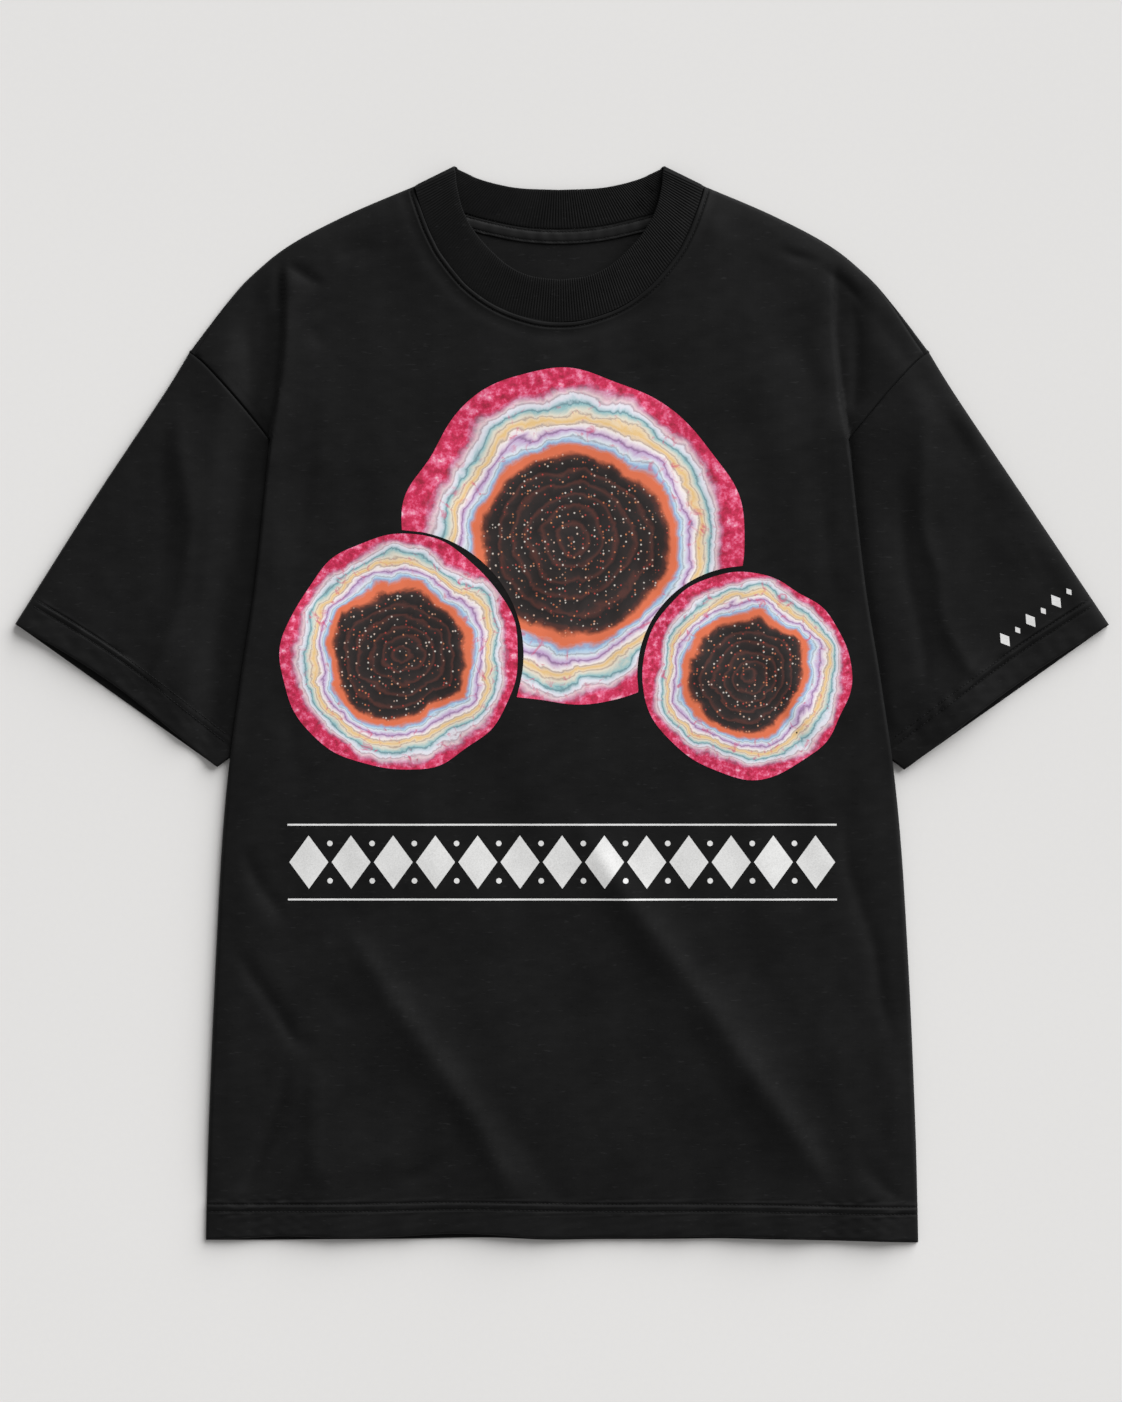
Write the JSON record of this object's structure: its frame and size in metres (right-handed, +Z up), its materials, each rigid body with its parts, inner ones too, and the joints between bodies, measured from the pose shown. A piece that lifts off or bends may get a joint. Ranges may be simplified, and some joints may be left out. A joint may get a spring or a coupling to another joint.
{
  "type": "t-shirt",
  "caption": "Boxy drop-shoulder short-sleeved T-shirt in heavy black jersey with a rib collar, laid flat with its front up.",
  "frame": {"origin": "middle of the shirt's footprint, on the surface that it lies on", "axes": "+Z up off that surface, out of the front of the shirt; +Y towards the collar; +X to the right as the front is seen from above, which is the wearer's left"},
  "size_m": [0.8192, 0.8059, 0.0113],
  "materials": {
    "jersey": "heavy black cotton jersey, matt, with a fine vertical knit and a little surface fuzz",
    "rib_knit": "black 1x1 cotton rib, folded double",
    "neck_tape": "black twill tape over the back neck seam",
    "print_ink": "thin, flexible, satin screen-print ink in several colours"
  },
  "bodies": {
    "root": {"front_panel": "jersey", "back_panel": "jersey", "right_sleeve": "jersey", "left_sleeve": "jersey", "neck_rib": "rib_knit", "neck_tape": "neck_tape"}
  },
  "joints": []
}
